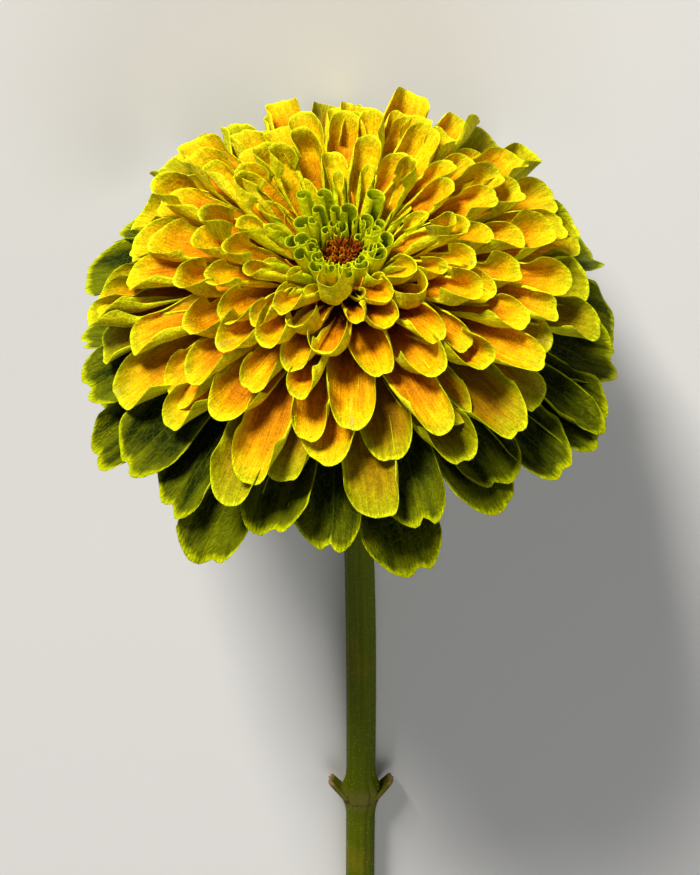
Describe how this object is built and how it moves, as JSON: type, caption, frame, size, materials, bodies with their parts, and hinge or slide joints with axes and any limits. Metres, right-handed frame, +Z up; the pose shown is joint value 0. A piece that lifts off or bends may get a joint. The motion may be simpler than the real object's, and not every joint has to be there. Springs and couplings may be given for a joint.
{
  "type": "zinnia flower",
  "caption": "Cut double zinnia bloom, its layered strap petals shading from green to orange round a small disc, lying on its bare bent stem.",
  "frame": {"origin": "on the surface that the flower lies on, below the middle of its box", "axes": "+Z up; +Y from the face of the flower towards the cut end of the stem; +X to the right when looking along +Y"},
  "size_m": [0.1084, 0.256, 0.0955],
  "materials": {
    "stem": "olive green stem, faintly ribbed and hairy",
    "involucre": "green bracts with dark thin rims",
    "outer_petals": "dark green petals with yellow-green margins, satin",
    "gold_petals": "orange petals turning yellow and lime at their margins, satin",
    "rolled_petals": "lime green rolled young petals, satin",
    "disc": "red-brown chaff, matte"
  },
  "bodies": {
    "root": {"stem": "stem", "involucre": "involucre", "outer_petals": "outer_petals", "gold_petals": "gold_petals", "rolled_petals": "rolled_petals", "disc": "disc"}
  },
  "joints": []
}
